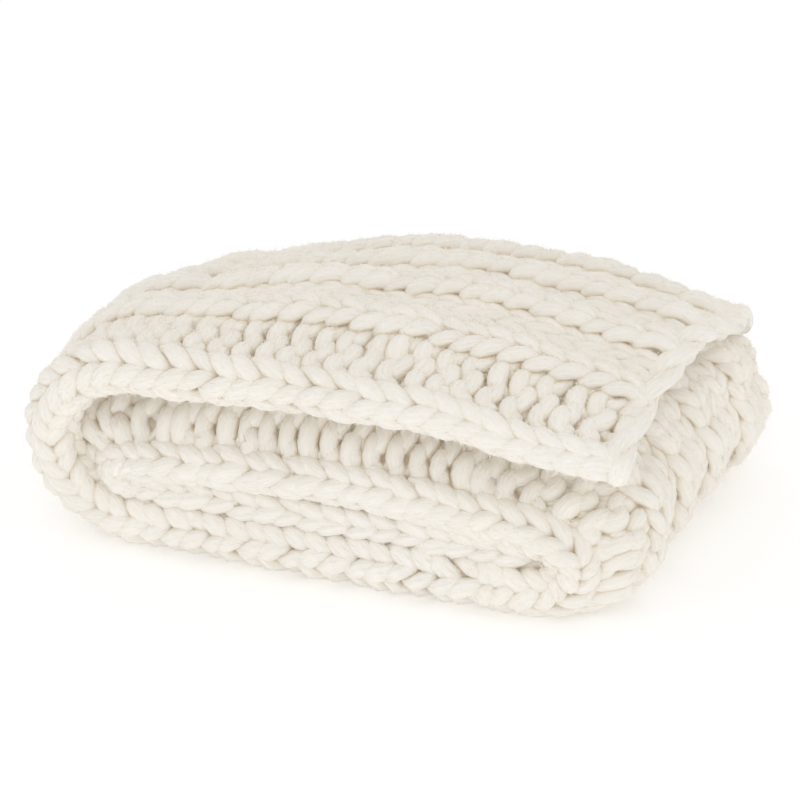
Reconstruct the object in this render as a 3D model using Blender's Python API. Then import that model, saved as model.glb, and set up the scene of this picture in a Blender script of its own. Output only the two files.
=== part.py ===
"""Chunky knit blanket, one ribbed cloth folded into four layers.

Metres, +Z up. The front edges of the layers face -Y and the long folds run front to back.
The cloth is followed from its free top end: along the top layer to the left, down the outer
left fold, along the bottom layer to the right, up the right fold, back along the third layer
to the left, round the small inner fold, and along the hidden layer to its end.
"""
from collections import namedtuple
import math

import bmesh
import bpy

# ---------------------------------------------------------------- the cloth
OUTER = 0.021          # middle of the cloth to the top of a rib, on the side that faces out
VALLEY = 0.016         # middle of the cloth to the bottom of a valley between two ribs
INNER = 0.019          # middle of the cloth to its inner side under a valley
INNER_RIB = 0.015      # the same under a rib, where the inner side is drawn in
RIB_HALF = 0.008       # half the flat width of a rib
SHOULDER = 0.017       # half the width of a rib at its foot
END_ROUND = 0.009      # how far the rounded ends of the cloth reach past their last course

# Across the depth: the ribs stand at these places behind the front line.
RIBS = (0.092, 0.156, 0.219, 0.280)
FRONT = 0.012          # middle of the curled front edge
REAR = 0.335           # middle of the curled rear edge
EDGE_ROUND = 0.022     # radius of both curled edges
FLOOR = 0.0            # the lowest ribs are pressed flat here

# The middle of the box that holds the folded cloth, in the measuring frame of SECTIONS.
CENTRE_X = 0.3011
CENTRE_Y = 0.1735

# ---------------------------------------------------------------- the folds
# One row for each place across the depth. back: distance behind the front line. Then the
# heights of the cloth's middle on each layer, at its left, middle and right, where the layer
# isn't level, and how far the top layer droops towards its free end. Then where each fold
# starts and how far it reaches, the powers of the right fold's halves, and where the ends lie.
Section = namedtuple("Section", (
    "back top_left top_middle top_right droop third_left third_middle third_right hidden "
    "bottom left_start left_reach inner_start inner_reach right_start right_reach "
    "right_lower right_upper end tail"))
SECTIONS = (
    Section(0.012, 0.175, 0.178, 0.166, 0.010, 0.082, 0.093, 0.086, 0.058,
            0.0265, 0.118, 0.027, 0.112, 0.089, 0.425, 0.509,
            0.33, 1.25, 0.537, 0.462),
    Section(0.034, 0.178, 0.184, 0.168, 0.007, 0.107, 0.120, 0.103, 0.060,
            0.0240, 0.118, 0.025, 0.112, 0.055, 0.427, 0.542,
            0.22, 1.30, 0.537, 0.463),
    Section(0.085, 0.185, 0.203, 0.172, 0.000, 0.141, 0.160, 0.125, 0.064,
            0.0212, 0.118, 0.017, 0.112, 0.051, 0.432, 0.555,
            0.20, 1.18, 0.536, 0.466),
    Section(0.150, 0.182, 0.213, 0.185, 0.000, 0.138, 0.164, 0.135, 0.066,
            0.021, 0.124, 0.020, 0.114, 0.060, 0.440, 0.558,
            0.24, 1.00, 0.545, 0.470),
    Section(0.215, 0.167, 0.208, 0.186, 0.000, 0.121, 0.154, 0.134, 0.066,
            0.021, 0.124, 0.030, 0.116, 0.080, 0.450, 0.568,
            0.32, 0.75, 0.552, 0.474),
    Section(0.280, 0.149, 0.197, 0.170, 0.000, 0.103, 0.135, 0.135, 0.064,
            0.0212, 0.122, 0.046, 0.122, 0.093, 0.462, 0.586,
            0.35, 0.42, 0.560, 0.476),
    Section(0.335, 0.126, 0.160, 0.146, 0.000, 0.078, 0.102, 0.121, 0.057,
            0.0235, 0.140, 0.064, 0.132, 0.107, 0.466, 0.582,
            0.35, 0.38, 0.562, 0.474),
)

# One row for each stretch of the cloth, in the order in which the knitting runs: its number
# of steps in the solid, and how thick its front and rear edges are beside the full cloth, at
# the stretch's start and at its finish.
Stretch = namedtuple("Stretch", "name steps edge_start edge_finish")
STRETCHES = (
    Stretch("top", 14, 0.60, 1.20),
    Stretch("left_fold", 14, 1.20, 1.22),
    Stretch("bottom", 8, 1.22, 1.40),
    Stretch("right_fold", 14, 1.40, 0.88),
    Stretch("third", 10, 0.88, 0.70),
    Stretch("inner_fold", 8, 0.70, 0.45),
    Stretch("hidden", 9, 0.45, 0.42),
)
EDGE_FADE = 0.060      # how far in from an edge its own thickness fades out
DROOP_START, DROOP_END = 0.36, 0.16    # shares of the top layer, from its free end

# A fold is an ellipse whose lower and upper halves are made squarer (under 1) or more
# pointed (over 1) by these powers. The right fold's powers are in SECTIONS.
LEFT_LOWER, LEFT_UPPER = 0.85, 1.00
INNER_LOWER, INNER_UPPER = 1.10, 0.80

# The crease along the right fold, where its upper and its lower bulge meet.
CREASE_DEPTH = 0.012
CREASE_TURN = 0.62     # place round the fold, 0 at the bottom layer and 1 at the third
CREASE_WIDTH = 0.10
CREASE_FRONT = 0.090   # the crease fades in behind this distance

WOOL = (0.840, 0.800, 0.725, 1.0)


def smooth(low, high, value):
    """0 below low, 1 above high, an even rise between them."""
    part = min(max((value - low) / (high - low), 0.0), 1.0)
    return part * part * (3.0 - 2.0 * part)


def section_at(back):
    """The row of SECTIONS at any distance behind the front line, on a smooth curve."""
    last = len(SECTIONS) - 1
    k = 0
    while k < last - 1 and back > SECTIONS[k + 1].back:
        k += 1
    low, high = SECTIONS[k], SECTIONS[k + 1]
    before, after = SECTIONS[max(k - 1, 0)], SECTIONS[min(k + 2, last)]
    t = (back - low.back) / (high.back - low.back)
    t = min(max(t, 0.0), 1.0)
    values = []
    for p0, p1, p2, p3 in zip(before, low, high, after):
        curve = (2 * p1 + (p2 - p0) * t + (2 * p0 - 5 * p1 + 4 * p2 - p3) * t * t
                 + (3 * p1 - p0 - 3 * p2 + p3) * t ** 3)
        values.append(curve / 2)
    return Section(*values)


def bow(start, middle, end, part):
    """A height that passes through start, middle and end as part runs from 0 to 1."""
    return (start * (1 - part) * (1 - 2 * part) + 4 * middle * part * (1 - part)
            + end * part * (2 * part - 1))


def fold_point(start, reach, low, high, lower, upper, turn):
    """A point on an elliptic fold; turn runs from 0 at its low side to 1 at its high side."""
    angle = math.pi * turn
    power = lower + (upper - lower) * smooth(0.3, 0.7, turn)
    return (start + (reach - start) * max(math.sin(angle), 0.0) ** power,
            (low + high) / 2 - (high - low) / 2 * math.cos(angle))


def point(name, part, s, out, back):
    """x and z on a stretch of section s; out is the distance from the cloth's middle."""
    if name == "top":
        return (s.end + (s.left_start - s.end) * part,
                bow(s.top_right, s.top_middle, s.top_left, part) + out
                - s.droop * (1 - smooth(DROOP_END, DROOP_START, part)))
    if name == "left_fold":
        return fold_point(s.left_start, s.left_reach - out, s.bottom - out,
                          s.top_left + out, LEFT_LOWER, LEFT_UPPER, 1 - part)
    if name == "bottom":
        return s.left_start + (s.right_start - s.left_start) * part, s.bottom - out
    if name == "right_fold":
        dent = math.exp(-((part - CREASE_TURN) / CREASE_WIDTH) ** 2)
        dent *= CREASE_DEPTH * smooth(CREASE_FRONT, CREASE_FRONT + 0.1, back)
        return fold_point(s.right_start, s.right_reach + out - dent, s.bottom - out,
                          s.third_right + out, s.right_lower, s.right_upper, part)
    if name == "third":
        return (s.right_start + (s.inner_start - s.right_start) * part,
                bow(s.third_right, s.third_middle, s.third_left, part) + out)
    if name == "inner_fold":
        return fold_point(s.inner_start, s.inner_reach - out, s.hidden - out,
                          s.third_left + out, INNER_LOWER, INNER_UPPER, 1 - part)
    return s.inner_start + (s.tail - s.inner_start) * part, s.hidden - out


def lanes():
    """(back, out, inner) for each line of points that runs along the cloth."""
    found = []
    for turn in (0.42, 0.25, 0.08):
        reach, rise = math.sin(math.pi * turn), math.cos(math.pi * turn)
        found.append((FRONT - EDGE_ROUND * reach, OUTER * rise, -EDGE_ROUND * rise))
    found.append((0.034, 0.0145, -INNER))
    for rib in RIBS:
        found.append((rib - SHOULDER, VALLEY, -INNER))
        found.append((rib - RIB_HALF, OUTER, -INNER_RIB))
        found.append((rib + RIB_HALF, OUTER, -INNER_RIB))
        found.append((rib + SHOULDER, VALLEY, -INNER))
    for turn in (0.08, 0.25, 0.42):
        reach, rise = math.sin(math.pi * turn), math.cos(math.pi * turn)
        found.append((REAR + EDGE_ROUND * reach, OUTER * rise, -EDGE_ROUND * rise))
    return found


def edge_share(back):
    """1 at the front and rear edges of the cloth, 0 inside it."""
    front = 1 - smooth(FRONT, FRONT + EDGE_FADE, back)
    rear = smooth(REAR - EDGE_FADE, REAR, back)
    return max(front, rear)


def rings():
    """One closed ring of points for each step along the cloth."""
    order = [(stretch, step) for stretch in STRETCHES for step in range(stretch.steps)]
    order.append((STRETCHES[-1], STRETCHES[-1].steps))
    found = []
    for stretch, step in order:
        part = step / stretch.steps
        edge = stretch.edge_start + (stretch.edge_finish - stretch.edge_start) * part
        upper, lower = [], []
        for back, out, inner in lanes():
            section = section_at(back)
            thick = 1 + (edge - 1) * edge_share(back)
            for side, offset in ((upper, out), (lower, inner)):
                x, z = point(stretch.name, part, section, offset * thick, back)
                side.append((x - CENTRE_X, back - CENTRE_Y, max(z, FLOOR)))
        found.append(upper + lower[::-1])
    return found


def rounded_end(ring, direction):
    """A smaller ring past the end of the cloth, which rounds it off."""
    half = len(ring) // 2
    end = []
    for k, (x, y, z) in enumerate(ring):
        x2, y2, z2 = ring[2 * half - 1 - k]
        end.append((x + direction * END_ROUND, y, z + (z2 - z) * 0.22))
    return end


def make_blanket():
    """The folded cloth as one closed solid."""
    along = rings()
    along.insert(0, rounded_end(along[0], 1))
    along.append(rounded_end(along[-1], 1))
    mesh = bmesh.new()
    grid = [[mesh.verts.new(p) for p in ring] for ring in along]
    count = len(grid[0])
    for ring, following in zip(grid, grid[1:]):
        for k in range(count):
            n = (k + 1) % count
            mesh.faces.new((ring[k], ring[n], following[n], following[k]))
    for ring in (grid[0], grid[-1]):
        for k in range(count // 2 - 1):
            mesh.faces.new((ring[k], ring[k + 1], ring[count - 2 - k], ring[count - 1 - k]))
    bmesh.ops.recalc_face_normals(mesh, faces=mesh.faces)
    bmesh.ops.triangulate(mesh, faces=mesh.faces)
    data = bpy.data.meshes.new("blanket")
    mesh.to_mesh(data)
    mesh.free()
    data.shade_smooth()
    return bpy.data.objects.new("blanket", data)


def wool():
    """Undyed cream roving wool."""
    material = bpy.data.materials.new("cream_wool")
    material.use_nodes = True
    shader = material.node_tree.nodes["Principled BSDF"]
    shader.inputs["Base Color"].default_value = WOOL
    shader.inputs["Roughness"].default_value = 0.95
    shader.inputs["Metallic"].default_value = 0.0
    return material


def main():
    for old in list(bpy.data.objects):
        bpy.data.objects.remove(old)
    group = bpy.data.collections.new("chunky_knit_blanket")
    bpy.context.scene.collection.children.link(group)
    blanket = make_blanket()
    blanket.data.materials.append(wool())
    group.objects.link(blanket)


main()
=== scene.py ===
"""The looks of the chunky knit blanket: every stitch as thick roving yarn, with its fuzz.

The cloth lies along the same folds as the solid. Each course of stitches is one tube of yarn
through all the wales, laid on those folds. A felted lining closes the holes between the
stitches, and loose fibres stand off every yarn.
"""
import math
from collections import namedtuple

import bpy
import numpy as np
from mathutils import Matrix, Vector


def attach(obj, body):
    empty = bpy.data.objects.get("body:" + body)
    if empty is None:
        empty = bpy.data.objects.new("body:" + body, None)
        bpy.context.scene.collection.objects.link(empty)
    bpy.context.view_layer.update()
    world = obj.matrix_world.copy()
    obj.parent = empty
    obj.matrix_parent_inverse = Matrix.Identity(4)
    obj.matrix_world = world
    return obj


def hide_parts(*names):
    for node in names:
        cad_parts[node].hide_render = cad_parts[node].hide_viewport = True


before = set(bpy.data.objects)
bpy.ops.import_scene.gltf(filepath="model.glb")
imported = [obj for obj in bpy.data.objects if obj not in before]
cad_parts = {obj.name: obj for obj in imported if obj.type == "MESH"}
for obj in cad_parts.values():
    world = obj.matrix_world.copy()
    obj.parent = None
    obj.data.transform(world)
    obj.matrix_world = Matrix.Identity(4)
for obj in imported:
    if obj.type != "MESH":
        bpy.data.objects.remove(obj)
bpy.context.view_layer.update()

SEED = 20              # of all the small differences between stitches and between fibres
rng = np.random.default_rng(SEED)

# ---------------------------------------------------------------- the folded cloth
# The same driving sizes as the solid's. Measuring frame: x from the left, y from the front
# line back, z up, in metres.
CENTRE_X = 0.3011
CENTRE_Y = 0.1735
FRONT = 0.012          # middle of the curled front edge
REAR = 0.335           # middle of the curled rear edge

# One row for each place across the depth. back: distance behind the front line. Then the
# heights of the cloth's middle on each layer, at its left, middle and right, where the layer
# isn't level, and how far the top layer droops towards its free end. Then where each fold
# starts and how far it reaches, the powers of the right fold's halves, and where the ends lie.
Section = namedtuple("Section", (
    "back top_left top_middle top_right droop third_left third_middle third_right hidden "
    "bottom left_start left_reach inner_start inner_reach right_start right_reach "
    "right_lower right_upper end tail"))
SECTIONS = (
    Section(0.012, 0.175, 0.178, 0.166, 0.010, 0.082, 0.093, 0.086, 0.058,
            0.0265, 0.118, 0.027, 0.112, 0.089, 0.425, 0.509,
            0.33, 1.25, 0.537, 0.462),
    Section(0.034, 0.178, 0.184, 0.168, 0.007, 0.107, 0.120, 0.103, 0.060,
            0.0240, 0.118, 0.025, 0.112, 0.055, 0.427, 0.542,
            0.22, 1.30, 0.537, 0.463),
    Section(0.085, 0.185, 0.203, 0.172, 0.000, 0.141, 0.160, 0.125, 0.064,
            0.0212, 0.118, 0.017, 0.112, 0.051, 0.432, 0.555,
            0.20, 1.18, 0.536, 0.466),
    Section(0.150, 0.182, 0.213, 0.185, 0.000, 0.138, 0.164, 0.135, 0.066,
            0.021, 0.124, 0.020, 0.114, 0.060, 0.440, 0.558,
            0.24, 1.00, 0.545, 0.470),
    Section(0.215, 0.167, 0.208, 0.186, 0.000, 0.121, 0.154, 0.134, 0.066,
            0.021, 0.124, 0.030, 0.116, 0.080, 0.450, 0.568,
            0.32, 0.75, 0.552, 0.474),
    Section(0.280, 0.149, 0.197, 0.170, 0.000, 0.103, 0.135, 0.135, 0.064,
            0.0212, 0.122, 0.046, 0.122, 0.093, 0.462, 0.586,
            0.35, 0.42, 0.560, 0.476),
    Section(0.335, 0.126, 0.160, 0.146, 0.000, 0.078, 0.102, 0.121, 0.057,
            0.0235, 0.140, 0.064, 0.132, 0.107, 0.466, 0.582,
            0.35, 0.38, 0.562, 0.474),
)

# One row for each stretch of the cloth, in the order in which the knitting runs: its courses
# of stitches, and how thick its front and rear edges are beside the full cloth, at the
# stretch's start and at its finish. steps: yarn rings between two passes of the yarn, and
# set_back: how far its front edge lies behind the others' at its finish. draw: how far the
# cloth is drawn forward at its first rib, in the stretch's middle. fuzz: the short loose
# fibres on each course, and sides: the flats round its yarn. The edges of the third, inner
# and hidden layers are fuller here than in the solid, and run into the layers next to them.
Stretch = namedtuple("Stretch", (
    "name courses edge_start edge_finish steps set_back draw fuzz sides"))
STRETCHES = (
    Stretch("top", 19, 0.60, 1.20, 3, 0.0, 0.0, 5300, 10),
    Stretch("left_fold", 14, 1.20, 1.22, 3, 0.0, 0.0, 3400, 10),
    Stretch("bottom", 16, 1.22, 1.40, 2, 0.0, 0.0, 1200, 8),
    Stretch("right_fold", 12, 1.40, 0.88, 3, 0.0, 0.016, 4800, 10),
    Stretch("third", 16, 0.88, 0.82, 2, 0.0, 0.0, 1250, 8),
    Stretch("inner_fold", 6, 0.82, 0.92, 2, 0.003, 0.0, 900, 8),
    Stretch("hidden", 16, 0.92, 0.92, 2, 0.003, 0.0, 300, 6),
)
EDGE_FADE = 0.060      # how far in from an edge its own thickness fades out
DROOP_START, DROOP_END = 0.36, 0.16    # shares of the top layer, from its free end

# A fold is an ellipse whose lower and upper halves are made squarer (under 1) or more
# pointed (over 1) by these powers. The right fold's powers are in SECTIONS.
LEFT_LOWER, LEFT_UPPER = 0.85, 1.00
INNER_LOWER, INNER_UPPER = 1.10, 0.80
POWER_START, POWER_END = 0.3, 0.7      # places round a fold where its power changes over
# The usual shape of each fold, its reach beside its height, and the right fold's usual
# powers. The courses are spread evenly along that shape.
LEFT_SHAPE, RIGHT_SHAPE, INNER_SHAPE = 0.6, 0.7, 0.6
RIGHT_LOWER, RIGHT_UPPER = 0.25, 1.0
SHAPE_STEPS = 400

# The crease along the right fold, where its upper and its lower bulge meet.
CREASE_DEPTH = 0.012
CREASE_TURN = 0.62     # place round the fold, 0 at the bottom layer and 1 at the third
CREASE_WIDTH = 0.10
CREASE_FRONT = 0.090   # the crease fades in behind this distance, over CREASE_FADE
CREASE_FADE = 0.1

# ---------------------------------------------------------------- the knitting
YARN = 0.0078          # radius of the roving yarn
CURL = 0.0085          # radius of the cloth's middle where an edge curls under
CURL_LIFT = 0.050      # how far in from an edge the cloth still rides up over its curl

# One row for each wale (column of stitches) across the cloth. K is a knit column: it stands
# up as a rib where its yarn swings far, and lies in a felted valley where it swings little.
# P is a purl column. across: distance behind FRONT along the cloth; below 0 the wale lies
# round the curled front edge. level: how far its middle lies out of the cloth's middle, and
# swing: how far its yarn goes either way.
Wale = namedtuple("Wale", "kind across level swing")
RIB_LEVEL, RIB_SWING = 0.0038, 0.0105
EDGE_LEVEL, EDGE_SWING = 0.0000, 0.0070
DIP_LEVEL, DIP_SWING = 0.0010, 0.0080          # the open purl columns by the front edge
VALLEY_LEVEL, VALLEY_SWING = -0.0002, 0.0046   # the felted columns between the ribs
DEPTH = REAR - FRONT


def edge_wale(degrees):
    """A knit wale that lies this far round the front curl."""
    return Wale("K", -CURL * math.radians(degrees), EDGE_LEVEL, EDGE_SWING)


def rear_wale(degrees):
    """A knit wale that lies this far round the rear curl."""
    return Wale("K", DEPTH + CURL * math.radians(degrees), EDGE_LEVEL, EDGE_SWING)


def rib(across):
    """A raised knit wale."""
    return Wale("K", across, RIB_LEVEL, RIB_SWING)


def dip(across):
    """An open purl wale, whose yarn lies in bars with gaps between them."""
    return Wale("P", across, DIP_LEVEL, DIP_SWING)


def valley(across):
    """A shallow knit wale between two ribs."""
    return Wale("K", across, VALLEY_LEVEL, VALLEY_SWING)


WALES = (
    edge_wale(165), edge_wale(58),
    dip(0.0190), dip(0.0500), rib(0.080),
    valley(0.101), valley(0.123), rib(0.144),
    valley(0.165), valley(0.186), rib(0.207),
    valley(0.227), valley(0.248), rib(0.268),
    valley(0.289), valley(0.309),
    rear_wale(58), rear_wale(165),
)

# The path of the yarn through one stitch, from its middle: wide in wale widths, along in
# course pitches. deep is 1 where the yarn lies nearest the outer side and -1 nearest the
# inner side, and thick is its radius beside YARN. The sinker joins two stitches.
Pass = namedtuple("Pass", "wide along deep thick")
Stitch = namedtuple("Stitch", "sinker foot leg shoulder head")
STITCHES = {
    "K": Stitch(Pass(0.50, -0.82, -0.80, 0.86), Pass(0.10, -0.80, -0.10, 0.88),
                Pass(0.20, -0.14, 1.00, 1.04), Pass(0.42, 0.60, 0.72, 0.99),
                Pass(0.00, 0.86, -0.90, 0.84)),
    "P": Stitch(Pass(0.50, -0.60, 0.92, 1.10), Pass(0.16, -0.50, 0.55, 1.02),
                Pass(0.26, 0.04, -0.60, 1.00), Pass(0.36, 0.59, 0.55, 1.02),
                Pass(0.00, 0.71, 0.92, 1.10)),
}
MEET_SWING = 0.30      # how far out the yarn lies between a knit and a purl column
LEAN, SLIP, UNEVEN = 0.045, 0.090, 0.085   # how far the stitches differ from each other

# Soft waves in the cloth, inside its edges: radians for each course, and for each metre
# across. WANDER also grows and fades along the cloth, by WANDER_SWELL for each course.
WANDER = 0.0024        # how far the wales stray to the front and the back
WANDER_COURSE, WANDER_ACROSS, WANDER_SWELL = 1.15, 9, 0.31
WAVE = 0.0014          # how far the cloth rises and dips
WAVE_COURSE, WAVE_ACROSS = 0.83, 31
WAVE_FADE = 0.04       # how far in from an edge the waves fade out

DRAWN_AT, DRAWN_END = 0.08, 0.16       # distances across where the cloth is drawn forward
SET_BACK_FADE = 0.03   # distance across over which a set-back front edge comes level

FLAT, WIDE = 0.88, 1.06    # the yarn's height and width, pressed against its neighbours
REST = 0.72            # the least height of the yarn's middle over the floor, in its radii
YARN_END = 0.1         # radius of a yarn's first and last rings beside the rest of it
GUIDE = (0.3, 0.8, 0.5)    # a yarn's first ring starts square to this

# Loose fibres, long ones that bend and short straight ones.
FUZZ_LENGTH, FUZZ_LEAST, FUZZ_MOST = 0.0078, 0.003, 0.0080
NAP_LENGTH, NAP_LEAST, NAP_MOST = 0.0034, 0.001, 0.0055
LENGTH_SPREAD = 0.35
LONG_ONE_IN = 8
FUZZ_WIDTH = 0.00027
NAP_ROOT = 0.0004      # how deep in the yarn the short ones start
FUZZ_STRAY = 0.45      # how much they stray from the way they lie, and bend
FUZZ_LOW, FUZZ_HIGH, FUZZ_TURN = 0.25, 1.3, 3.0
NAP_LOW, NAP_HIGH, NAP_TURN = 0.5, 2.2, 0.35
BARE_SHARE = 0.01      # the few fibres on the side of a yarn that faces into the cloth

# The felted lining: its distance from the cloth's middle, and its own steps.
FELT_OUT = -0.0060
FELT_COURSES = 0.5
FELT_STEP = 0.012
FELT_CURL = (30, 70, 110, 150)         # degrees round the curled edges
FELT_ACROSS = np.concatenate([-CURL * np.radians(FELT_CURL[::-1]),
                              np.arange(0, DEPTH, FELT_STEP),
                              DEPTH + CURL * np.radians((0,) + FELT_CURL)])
FELT_GRAIN = (1, 20, 20)   # the fibre texture's place in it, beside its own place
FELT_SHADE_OFFSET = -0.5      # painted shade on the lining: how far it is pushed into the crease shade; loose fibres are lifted out of it the other way


def smooth(low, high, value):
    """0 below low, 1 above high, an even rise between them."""
    part = np.clip((value - low) / (high - low), 0.0, 1.0)
    return part * part * (3.0 - 2.0 * part)


def section_at(back):
    """The columns of SECTIONS at many distances behind the front line, on smooth curves."""
    table = np.array(SECTIONS)
    last = len(table) - 1
    k = np.clip(np.searchsorted(table[:, 0], back, side="left") - 1, 0, last - 1)
    low, high = table[k], table[k + 1]
    before, after = table[np.maximum(k - 1, 0)], table[np.minimum(k + 2, last)]
    t = np.clip((back - low[:, 0]) / (high[:, 0] - low[:, 0]), 0, 1)[:, None]
    curve = (2 * low + (high - before) * t
             + (2 * before - 5 * low + 4 * high - after) * t * t
             + (3 * low - before - 3 * high + after) * t ** 3)
    return Section(*(curve.T / 2))


def bow(start, middle, end, part):
    """A height that passes through start, middle and end as part runs from 0 to 1."""
    return (start * (1 - part) * (1 - 2 * part) + 4 * middle * part * (1 - part)
            + end * part * (2 * part - 1))


def fold_point(start, reach, low, high, lower, upper, turn):
    """A point on an elliptic fold; turn runs from 0 at its low side to 1 at its high side."""
    angle = math.pi * turn
    power = lower + (upper - lower) * smooth(POWER_START, POWER_END, turn)
    return (start + (reach - start) * np.maximum(np.sin(angle), 0.0) ** power,
            (low + high) / 2 - (high - low) / 2 * np.cos(angle))


def even_parts(shape, lower, upper, downward):
    """Shares of a fold's length, and the places round it where they end.

    shape is the fold's reach beside its height.
    """
    part = np.linspace(0, 1, SHAPE_STEPS)
    turn = 1 - part if downward else part
    x, z = fold_point(0.0, shape, 0.0, 1.0, lower, upper, turn)
    length = np.concatenate([[0], np.cumsum(np.hypot(np.diff(x), np.diff(z)))])
    return length / length[-1], part


def stretch_point(name, part, s, out, back):
    """x and z on a stretch of the sections s; out is the distance from the cloth's middle."""
    if name == "top":
        return (s.end + (s.left_start - s.end) * part,
                bow(s.top_right, s.top_middle, s.top_left, part) + out
                - s.droop * (1 - smooth(DROOP_END, DROOP_START, part)))
    if name in EVEN:
        part = np.interp(part, *EVEN[name])
    if name == "left_fold":
        return fold_point(s.left_start, s.left_reach - out, s.bottom - out,
                          s.top_left + out, LEFT_LOWER, LEFT_UPPER, 1 - part)
    if name == "bottom":
        return s.left_start + (s.right_start - s.left_start) * part, s.bottom - out
    if name == "right_fold":
        dent = np.exp(-((part - CREASE_TURN) / CREASE_WIDTH) ** 2)
        dent = dent * CREASE_DEPTH * smooth(CREASE_FRONT, CREASE_FRONT + CREASE_FADE, back)
        return fold_point(s.right_start, s.right_reach + out - dent, s.bottom - out,
                          s.third_right + out, s.right_lower, s.right_upper, part)
    if name == "third":
        return (s.right_start + (s.inner_start - s.right_start) * part,
                bow(s.third_right, s.third_middle, s.third_left, part) + out)
    if name == "inner_fold":
        return fold_point(s.inner_start, s.inner_reach - out, s.hidden - out,
                          s.third_left + out, INNER_LOWER, INNER_UPPER, 1 - part)
    return s.inner_start + (s.tail - s.inner_start) * part, s.hidden - out


EVEN = {
    "left_fold": even_parts(LEFT_SHAPE, LEFT_LOWER, LEFT_UPPER, True),
    "right_fold": even_parts(RIGHT_SHAPE, RIGHT_LOWER, RIGHT_UPPER, False),
    "inner_fold": even_parts(INNER_SHAPE, INNER_LOWER, INNER_UPPER, True),
}


def edge_share(back):
    """1 at the front and rear edges of the cloth, 0 inside it."""
    front = 1 - smooth(FRONT, FRONT + EDGE_FADE, back)
    return np.maximum(front, smooth(REAR - EDGE_FADE, REAR, back))


def cloth(course, across, out):
    """Places in the object's frame, from course numbers, distances across, and out.

    out is the height over the cloth's middle, towards the outer side. Round a curled edge the
    cloth's middle follows CURL.
    """
    shape = np.shape(course)
    course, across, out = (np.ravel(a).astype(float) for a in (course, across, out))
    lift = CURL * np.maximum(1 - smooth(0, CURL_LIFT, across),
                             smooth(DEPTH - CURL_LIFT, DEPTH, across))
    front_angle = np.maximum(-across, 0) / CURL
    rear_angle = np.maximum(across - DEPTH, 0) / CURL
    angle = front_angle + rear_angle
    side = np.where(rear_angle > 0, 1.0, -1.0)
    rise = (lift + out) * np.cos(angle)
    reach = (lift + out) * np.sin(angle) * side
    flat = FRONT + np.clip(across, 0, DEPTH)
    inside = smooth(0, WAVE_FADE, across) * (1 - smooth(DEPTH - WAVE_FADE, DEPTH, across))
    wander = np.sin(WANDER_COURSE * course + WANDER_ACROSS * across)
    flat = flat + WANDER * inside * wander * np.cos(WANDER_SWELL * course)
    rise = rise + WAVE * inside * np.sin(WAVE_COURSE * course - WAVE_ACROSS * across)
    x, z, y = np.empty_like(course), np.empty_like(course), np.empty_like(course)
    first = 0
    for number, stretch in enumerate(STRETCHES):
        finish = first + stretch.courses
        low = -1e9 if number == 0 else first
        high = 1e9 if number == len(STRETCHES) - 1 else finish
        m = (course >= low) & (course < high)
        part = (course[m] - first) / stretch.courses
        edge = stretch.edge_start + (stretch.edge_finish - stretch.edge_start) * part
        thick = 1 + (edge - 1) * edge_share(flat[m])
        set_before = STRETCHES[number - 1].set_back if number else 0.0
        set_back = set_before + (stretch.set_back - set_before) * part
        drawn = smooth(0, DRAWN_AT, across[m]) * (1 - smooth(DRAWN_AT, DRAWN_END, across[m]))
        behind = set_back * (1 - smooth(0, SET_BACK_FADE, across[m]))
        back = flat[m] + reach[m] * thick + behind
        back = back - stretch.draw * drawn * np.sin(math.pi * np.clip(part, 0, 1))
        s = section_at(back)
        x[m], z[m] = stretch_point(stretch.name, part, s, rise[m] * thick, back)
        y[m] = back
        first = finish
    return np.stack([x - CENTRE_X, y - CENTRE_Y, z], 1).reshape(shape + (3,))


def spline(points, steps):
    """A smooth curve through the rows of points, with this many steps between two rows."""
    padded = np.concatenate([points[:1], points, points[-1:]])
    t = (np.arange(steps) / steps)[:, None, None]
    p0, p1, p2, p3 = padded[:-3], padded[1:-2], padded[2:-1], padded[3:]
    curve = (2 * p1 + (p2 - p0) * t + (2 * p0 - 5 * p1 + 4 * p2 - p3) * t * t
             + (3 * p1 - p0 - 3 * p2 + p3) * t ** 3) / 2
    curve = curve.transpose(1, 0, 2).reshape(-1, points.shape[1])
    return np.concatenate([curve, points[-1:]])


def yarn_passes(course):
    """The yarn's passes through one course's stitches: wale number, course, out and thick."""
    rows = []
    for number, wale in enumerate(WALES):
        stitch = STITCHES[wale.kind]
        before = WALES[number - 1] if number else wale
        meet = (wale.level + before.level) / 2
        if before.kind == wale.kind:
            meet += stitch.sinker.deep * wale.swing
        else:
            meet += MEET_SWING * min(before.swing, wale.swing)
        lean, slip, swell = rng.normal(0, (LEAN, SLIP, UNEVEN))
        rows.append((number - stitch.sinker.wide, course + stitch.sinker.along + slip,
                     meet, stitch.sinker.thick + swell))
        half = (stitch.foot, stitch.leg, stitch.shoulder)
        route = [(-1, at) for at in half] + [(0, stitch.head)] + [(1, at) for at in half[::-1]]
        for side, at in route:
            rows.append((number + side * at.wide + lean, course + at.along + slip,
                         wale.level + at.deep * wale.swing, at.thick + swell))
    rows.append((number + stitch.sinker.wide, course + stitch.sinker.along,
                 wale.level, stitch.sinker.thick))
    return np.array(rows)


ACROSS = np.array([w.across for w in WALES])


def across_at(number):
    """Distance across the cloth at a wale number, which may lie between two wales."""
    last = len(WALES) - 1
    low = ACROSS[0] + number * (ACROSS[1] - ACROSS[0])
    high = ACROSS[-1] + (number - last) * (ACROSS[-1] - ACROSS[-2])
    inside = np.interp(number, np.arange(len(WALES)), ACROSS)
    return np.where(number < 0, low, np.where(number > last, high, inside))


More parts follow.
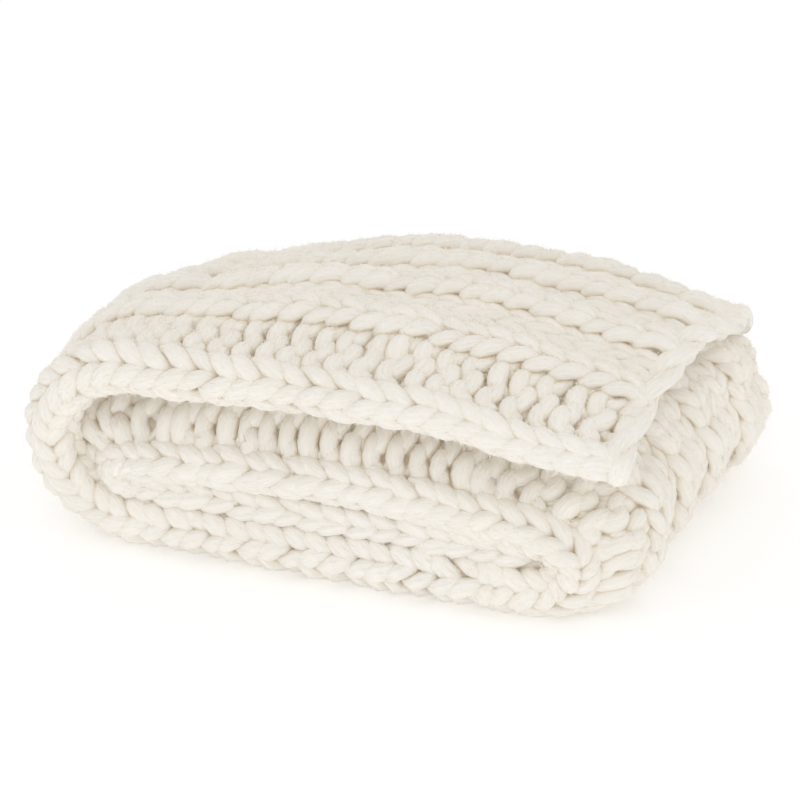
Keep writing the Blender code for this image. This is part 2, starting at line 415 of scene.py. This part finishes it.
def tube(centre, radius, up, sides):
    """A yarn's points, faces and own coordinates, and where its loose fibres stand.

    up is the way out of the cloth at each place along the yarn, longer where the yarn is
    more exposed.
    """
    tangent = np.gradient(centre, axis=0)
    tangent /= np.linalg.norm(tangent, axis=1)[:, None]
    ends = np.isin(np.arange(len(radius)), (0, len(radius) - 1))
    radius = radius * np.where(ends, YARN_END, 1.0)
    normal = np.empty_like(tangent)
    guide = np.cross(tangent[0], GUIDE)
    for k, along in enumerate(tangent):
        guide = guide - along * (guide @ along)
        guide /= np.linalg.norm(guide)
        normal[k] = guide
    other = np.cross(tangent, normal)
    angle = 2 * math.pi * np.arange(sides) / sides
    ring = (np.cos(angle)[None, :, None] * normal[:, None]
            + np.sin(angle)[None, :, None] * other[:, None])
    flat = up / np.maximum(np.linalg.norm(up, axis=1), 1e-6)[:, None]
    rise = (ring * flat[:, None]).sum(2, keepdims=True) * flat[:, None]
    centre = centre.copy()
    centre[:, 2] = np.maximum(centre[:, 2], REST * radius)
    points = centre[:, None] + (ring * WIDE + rise * (FLAT - WIDE)) * radius[:, None, None]
    length = np.concatenate([[0], np.cumsum(np.linalg.norm(np.diff(centre, axis=0), axis=1))])
    fibre = np.stack(np.broadcast_arrays(
        length[:, None], np.cos(angle)[None], np.sin(angle)[None]), 2)
    rings = len(centre)
    k, j = np.meshgrid(np.arange(rings - 1), np.arange(sides), indexing="ij")
    n = (j + 1) % sides
    faces = np.stack([k * sides + j, k * sides + n,
                      (k + 1) * sides + n, (k + 1) * sides + j], 2)
    along = np.broadcast_to(tangent[:, None], ring.shape)
    share = np.maximum((ring * up[:, None]).sum(2), 0) + BARE_SHARE
    return (points.reshape(-1, 3), faces.reshape(-1, 4), fibre.reshape(-1, 3),
            ring.reshape(-1, 3), along.reshape(-1, 3), share.ravel())


def fuzz(points, outward, along, share, count):
    """Loose fibres that stand off the yarn: count short ones, and a long one to LONG_ONE_IN.

    A short one is one triangle. A long one bends, and is a quad with a triangle at its tip.
    share is how many of them stand at each point beside the others.
    """
    share = share / share.sum()
    few = count // LONG_ONE_IN
    pick = rng.choice(len(points), few, p=share)
    length = rng.lognormal(math.log(FUZZ_LENGTH), LENGTH_SPREAD, few)
    length = np.clip(length, FUZZ_LEAST, FUZZ_MOST)[:, None]
    lay, side = fibre_lie(outward[pick], along[pick], FUZZ_LOW, FUZZ_HIGH, FUZZ_TURN)
    bend = rng.normal(0, FUZZ_STRAY, (few, 3))
    ribs = []
    for part in (0.0, 0.5):
        middle = points[pick] + (lay * part + bend * part * part) * length
        ribs += [middle - side, middle + side]
    long_ones = np.stack(ribs + [points[pick] + (lay + bend) * length], 1).reshape(-1, 3)
    start = 5 * np.arange(few)[:, None]
    quads, tips = start + (0, 1, 3, 2), start + (2, 3, 4)
    pick = rng.choice(len(points), count, p=share)
    root = points[pick] - outward[pick] * NAP_ROOT
    length = rng.lognormal(math.log(NAP_LENGTH), LENGTH_SPREAD, count)
    length = np.clip(length, NAP_LEAST, NAP_MOST)[:, None]
    lay, side = fibre_lie(outward[pick], along[pick], NAP_LOW, NAP_HIGH, NAP_TURN)
    short_ones = np.stack([root - side, root + side, root + lay * length], 1).reshape(-1, 3)
    tips = np.concatenate([tips, 5 * few + 3 * np.arange(count)[:, None] + (0, 1, 2)])
    return np.concatenate([long_ones, short_ones]), quads, tips


def fibre_lie(outward, along, low, high, turn):
    """The way that loose fibres point, between low and high outward, and half their width.

    turn is how far their flat sides turn away from facing outward.
    """
    count = len(outward)
    lay = along * rng.choice((-1.0, 1.0), count)[:, None]
    lay = lay + outward * rng.uniform(low, high, count)[:, None]
    lay = lay + rng.normal(0, FUZZ_STRAY, (count, 3))
    lay /= np.linalg.norm(lay, axis=1)[:, None]
    side = np.cross(lay, outward + rng.normal(0, turn, (count, 3)))
    return lay, side * (FUZZ_WIDTH / 2 / np.linalg.norm(side, axis=1)[:, None])


def felt(first_course, last_course):
    """The matted fibres in the middle of the cloth, which close the holes between stitches."""
    courses = np.arange(first_course, last_course + 0.01, FELT_COURSES)
    course, across = np.meshgrid(courses, FELT_ACROSS, indexing="ij")
    points = cloth(course, across, np.full(course.shape, FELT_OUT)).reshape(-1, 3)
    rows, columns = course.shape
    k, j = np.meshgrid(np.arange(rows - 1), np.arange(columns - 1), indexing="ij")
    corner = k * columns + j
    quads = np.stack([corner, corner + 1, corner + columns + 1, corner + columns], 2)
    return points, quads.reshape(-1, 4)


def mesh_piece(name, tubes, material, fibres, lining=None):
    """One object from many tubes of yarn, with this many short loose fibres on each.

    Its "fibre" attribute is the place along and round the yarn, for the texture. Its "loose"
    attribute is 0 on the yarn, 1 on loose fibres and the felt's shade offset on the lining; it
    is added to the mask of the painted crease shade, so loose fibres get none of it.
    """
    points, quads, tips, coordinates, painted_shade_lift, start = [], [], [], [], [], 0
    if lining:
        points.append(lining[0])
        quads.append(lining[1])
        coordinates.append(lining[0] * FELT_GRAIN)
        painted_shade_lift.append(np.full(len(lining[0]), FELT_SHADE_OFFSET))
        start = len(lining[0])
    for rings, faces, fibre, outward, along, share in tubes:
        points.append(rings)
        quads.append(faces + start)
        coordinates.append(fibre)
        painted_shade_lift.append(np.zeros(len(rings)))
        start += len(rings)
        loose, ribbons, ends = fuzz(rings, outward, along, share, fibres)
        points.append(loose)
        quads.append(ribbons + start)
        tips.append(ends + start)
        coordinates.append(np.zeros_like(loose))
        painted_shade_lift.append(np.ones(len(loose)))
        start += len(loose)
    points, quads, tips = (np.concatenate(a) for a in (points, quads, tips))
    points[:, 2] = np.maximum(points[:, 2], 0.0)    # nothing goes through the floor
    data = bpy.data.meshes.new(name)
    data.vertices.add(len(points))
    data.vertices.foreach_set("co", points.ravel())
    corners = np.concatenate([quads.ravel(), tips.ravel()]).astype(np.int32)
    starts = np.concatenate([np.arange(0, quads.size, 4),
                             quads.size + np.arange(0, tips.size, 3)])
    data.loops.add(len(corners))
    data.loops.foreach_set("vertex_index", corners)
    data.polygons.add(len(starts))
    data.polygons.foreach_set("loop_start", starts.astype(np.int32))
    data.update(calc_edges=True)
    attribute = data.attributes.new("fibre", "FLOAT_VECTOR", "POINT")
    attribute.data.foreach_set("vector", np.concatenate(coordinates).ravel())
    # The "loose" values shift the painted crease shade: loose fibres out of it, the lining
    # deeper in.
    attribute = data.attributes.new("loose", "FLOAT", "POINT")
    attribute.data.foreach_set("value", np.concatenate(painted_shade_lift))
    data.shade_smooth()
    data.materials.append(material)
    piece = bpy.data.objects.new(name, data)
    bpy.context.scene.collection.objects.link(piece)
    return piece


# ---------------------------------------------------------------- the wool
WOOL_DULL = (0.870, 0.830, 0.760, 1)   # between these two along the yarn's streaks
WOOL_CLEAR = (0.915, 0.888, 0.838, 1)
# painted shade: the dark tan that the creases between yarns are mixed towards
PAINTED_CREASE_SHADE = (0.745, 0.655, 0.515, 1)
CREASE_REACH = 0.007   # how near another yarn must lie for the painted crease shade to fall
CREASE_DARK, CREASE_LIGHT = 0.25, 0.80     # shares of open surroundings at which the painted crease shade is full, and gone
# painted glow: the yellowish colour of the light that the wool gives off, which lifts and tints
# its shade
PAINTED_GLOW_TINT = (1.0, 0.90, 0.74, 1)
PAINTED_GLOW = 0.095           # painted glow: a little light that the wool gives off itself, lifting its shade
STREAK_STRETCH = (55.0, 3.2, 3.2)      # along the yarn, in metres, and round it
STREAK_SHARE, CLOUD_SHARE = 0.55, 0.45     # of the fine streaks and of the broad clouds
STREAK_DEPTH = 0.0022


def wool_material():
    """Cream roving wool: streaks along the yarn, painted shade in its creases, a painted glow,
    soft sheen.
    """
    material = bpy.data.materials.new("roving_wool")
    material.use_nodes = True
    nodes, links = material.node_tree.nodes, material.node_tree.links
    shader = nodes["Principled BSDF"]
    shader.inputs["Roughness"].default_value = 0.92
    shader.inputs["Specular IOR Level"].default_value = 0.18
    shader.inputs["Sheen Weight"].default_value = 0.12
    shader.inputs["Sheen Roughness"].default_value = 0.6
    # Painted glow: the wool gives off a little light of its own, which lifts its shade.
    shader.inputs["Emission Color"].default_value = PAINTED_GLOW_TINT
    shader.inputs["Emission Strength"].default_value = PAINTED_GLOW

    fibre = nodes.new("ShaderNodeAttribute")
    fibre.attribute_name = "fibre"
    stretch = nodes.new("ShaderNodeMapping")
    stretch.inputs["Scale"].default_value = STREAK_STRETCH
    links.new(fibre.outputs["Vector"], stretch.inputs["Vector"])
    streak = nodes.new("ShaderNodeTexNoise")
    streak.inputs["Scale"].default_value = 1.6
    streak.inputs["Detail"].default_value = 5.0
    streak.inputs["Roughness"].default_value = 0.62
    links.new(stretch.outputs["Vector"], streak.inputs["Vector"])

    place = nodes.new("ShaderNodeTexCoord")
    cloud = nodes.new("ShaderNodeTexNoise")
    cloud.inputs["Scale"].default_value = 14.0
    cloud.inputs["Detail"].default_value = 3.0
    links.new(place.outputs["Object"], cloud.inputs["Vector"])

    ramp = nodes.new("ShaderNodeValToRGB")
    ramp.color_ramp.elements[0].position = 0.30
    ramp.color_ramp.elements[0].color = WOOL_DULL
    ramp.color_ramp.elements[1].position = 0.62
    ramp.color_ramp.elements[1].color = WOOL_CLEAR
    blend = nodes.new("ShaderNodeMath")
    blend.operation = "MULTIPLY_ADD"
    blend.inputs[1].default_value = STREAK_SHARE
    links.new(streak.outputs["Fac"], blend.inputs[0])
    rest = nodes.new("ShaderNodeMath")
    rest.operation = "MULTIPLY"
    rest.inputs[1].default_value = CLOUD_SHARE
    links.new(cloud.outputs["Fac"], rest.inputs[0])
    links.new(rest.outputs["Value"], blend.inputs[2])
    links.new(blend.outputs["Value"], ramp.inputs["Fac"])

    # Painted shade: local occlusion finds the creases, and there the colour is mixed towards a
    # dark tan.
    crease_occlusion = nodes.new("ShaderNodeAmbientOcclusion")
    crease_occlusion.samples = 5
    crease_occlusion.only_local = True
    crease_occlusion.inputs["Distance"].default_value = CREASE_REACH
    crease_shade_mask = nodes.new("ShaderNodeMapRange")
    crease_shade_mask.interpolation_type = "SMOOTHSTEP"
    crease_shade_mask.inputs["From Min"].default_value = CREASE_DARK
    crease_shade_mask.inputs["From Max"].default_value = CREASE_LIGHT
    links.new(crease_occlusion.outputs["AO"], crease_shade_mask.inputs["Value"])
    painted_shade = nodes.new("ShaderNodeMix")
    painted_shade.data_type = "RGBA"
    painted_shade.inputs["A"].default_value = PAINTED_CREASE_SHADE
    # Painted shade: the creases between the yarns and the felt behind them are mixed towards a
    # dark tan; loose fibres are kept out of it.
    loose = nodes.new("ShaderNodeAttribute")
    loose.attribute_name = "loose"
    light = nodes.new("ShaderNodeMath")
    light.operation = "ADD"
    light.use_clamp = True
    links.new(crease_shade_mask.outputs["Result"], light.inputs[0])
    links.new(loose.outputs["Fac"], light.inputs[1])
    links.new(light.outputs["Value"], painted_shade.inputs["Factor"])
    links.new(ramp.outputs["Color"], painted_shade.inputs["B"])
    links.new(painted_shade.outputs["Result"], shader.inputs["Base Color"])

    bump = nodes.new("ShaderNodeBump")
    bump.inputs["Strength"].default_value = 0.9
    bump.inputs["Distance"].default_value = STREAK_DEPTH
    links.new(streak.outputs["Fac"], bump.inputs["Height"])
    links.new(bump.outputs["Normal"], shader.inputs["Normal"])
    return material


wool = wool_material()

SMALL_STEP = 0.001     # out of the cloth, to find which way is out
HIDDEN_OUT, OPEN_OUT = -0.004, 0.010   # loose fibres thin out from the second to the first


def knit_course(course, steps, sides):
    """The tube of yarn through one whole course."""
    path = spline(yarn_passes(course), steps)
    across = across_at(path[:, 0])
    centre = cloth(path[:, 1], across, path[:, 2])
    up = (cloth(path[:, 1], across, path[:, 2] + SMALL_STEP) - centre) / SMALL_STEP
    up = up * smooth(HIDDEN_OUT, OPEN_OUT, path[:, 2])[:, None]
    return tube(centre, YARN * path[:, 3], up, sides)


PIECE_COURSES = 10     # the most courses in one piece
pieces = []
first = 0
for stretch in STRETCHES:
    for begin in range(0, stretch.courses, PIECE_COURSES):
        part = range(begin, min(begin + PIECE_COURSES, stretch.courses))
        courses = [knit_course(first + k + 0.5, stretch.steps, stretch.sides) for k in part]
        name = f"knit_{stretch.name}_{begin // PIECE_COURSES + 1}"
        lining = felt(first + part[0], first + part[-1] + 1)
        pieces.append(mesh_piece(name, courses, wool, stretch.fuzz, lining))
    first += stretch.courses

# ---------------------------------------------------------------- the cast-on edge
ROPE = 0.0085          # radius of each of the two strands along the cast-on edge
ROPE_TWIST = 0.0048    # how far each strand's middle swings from the rope's middle
ROPE_PITCH = 4.4       # wales to a full turn
ROPE_COURSE = -0.28    # how far before the first course it lies
ROPE_OUT = 0.002
ROPE_START, ROPE_STEP = 0.1, 0.11      # wales
ROPE_SIDES = 10
ROPE_FUZZ = 2600


def rope_strand(phase):
    """One of the cast-on edge's strands, as the tube of its yarn."""
    number = np.arange(ROPE_START, len(WALES) - 1.0, ROPE_STEP)
    angle = 2 * math.pi * number / ROPE_PITCH + phase
    course, across = np.full_like(number, ROPE_COURSE), across_at(number)
    centre = cloth(course, across, np.full_like(number, ROPE_OUT))
    up = cloth(course, across, np.full_like(number, ROPE_OUT + SMALL_STEP)) - centre
    up /= np.linalg.norm(up, axis=1)[:, None]
    side = np.array([1.0, 0.0, 0.0])
    centre = centre + ROPE_TWIST * (np.cos(angle)[:, None] * up + np.sin(angle)[:, None] * side)
    return tube(centre, np.full(len(centre), ROPE), up, ROPE_SIDES)


strands = [rope_strand(0), rope_strand(math.pi)]
pieces.append(mesh_piece("cast_on_edge", strands, wool, ROPE_FUZZ))

for piece in pieces:
    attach(piece, "root")
    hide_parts("blanket")

# ---------------------------------------------------------------- floor, light and camera
FLOOR_SIDE = 12.0
FLOOR_TINT = (0.98, 0.98, 0.98, 1)
FLOOR_GLOW = 0.16      # keeps the sweep as pale as in the photo
ROOM_LIGHT = 0.855
AIM = (0, 0, 0.1)      # both lamps point here
KEY_PLACE, KEY_SIZE, KEY_POWER = (-0.9, -1.3, 2.2), 1.6, 2
FILL_PLACE, FILL_SIZE, FILL_POWER = (0.8, -2.2, 0.75), 1.5, 5.5


def floor():
    """The studio's plain sweep."""
    bpy.ops.mesh.primitive_plane_add(size=FLOOR_SIDE)
    ground = bpy.context.object
    ground.name = "floor"
    paper = bpy.data.materials.new("white_paper")
    paper.use_nodes = True
    shader = paper.node_tree.nodes["Principled BSDF"]
    shader.inputs["Base Color"].default_value = FLOOR_TINT
    shader.inputs["Roughness"].default_value = 1.0
    shader.inputs["Specular IOR Level"].default_value = 0.0
    shader.inputs["Emission Color"].default_value = (1, 1, 1, 1)
    shader.inputs["Emission Strength"].default_value = FLOOR_GLOW
    ground.data.materials.append(paper)


def light(name, place, size, power):
    """A square lamp that points at AIM."""
    data = bpy.data.lights.new(name, "AREA")
    data.size = size
    data.energy = power
    lamp = bpy.data.objects.new(name, data)
    lamp.location = place
    lamp.rotation_euler = (Vector(AIM) - Vector(place)).to_track_quat("-Z", "Y").to_euler()
    bpy.context.scene.collection.objects.link(lamp)


floor()
bpy.context.scene.view_settings.view_transform = "Standard"
world = bpy.data.worlds.new("studio")
bpy.context.scene.world = world
world.use_nodes = True
sky = world.node_tree.nodes["Background"]
sky.inputs["Color"].default_value = (1.0, 1.0, 1.0, 1)
sky.inputs["Strength"].default_value = ROOM_LIGHT
light("key", KEY_PLACE, KEY_SIZE, KEY_POWER)
light("front", FILL_PLACE, FILL_SIZE, FILL_POWER)

# The camera: turned and raised as the blanket is seen, a long lens.
AZIMUTH = math.radians(19.5)
ELEVATION = math.radians(27.0)
DISTANCE = 2.4
FRAME_WIDTH = 0.72     # metres across the picture at the target
SENSOR = 36.0
TARGET = Vector((0.300 - CENTRE_X, 0.150 - CENTRE_Y, 0.100))
SLIDE_RIGHT, SLIDE_UP = 0.0045, 0.0072     # of the target, across the picture


def camera():
    """The scene's camera, at the photo's viewing angle."""
    data = bpy.data.cameras.new("camera")
    data.sensor_width = SENSOR
    data.lens = SENSOR * DISTANCE / FRAME_WIDTH
    eye = bpy.data.objects.new("camera", data)
    right = Vector((math.cos(AZIMUTH), math.sin(AZIMUTH), 0))
    ahead = Vector((-math.sin(AZIMUTH) * math.cos(ELEVATION),
                    math.cos(AZIMUTH) * math.cos(ELEVATION), -math.sin(ELEVATION)))
    up = right.cross(ahead)
    target = TARGET + SLIDE_RIGHT * right + SLIDE_UP * up
    eye.location = target - DISTANCE * ahead
    eye.rotation_euler = ahead.to_track_quat("-Z", "Y").to_euler()
    bpy.context.scene.collection.objects.link(eye)
    bpy.context.scene.camera = eye


camera()
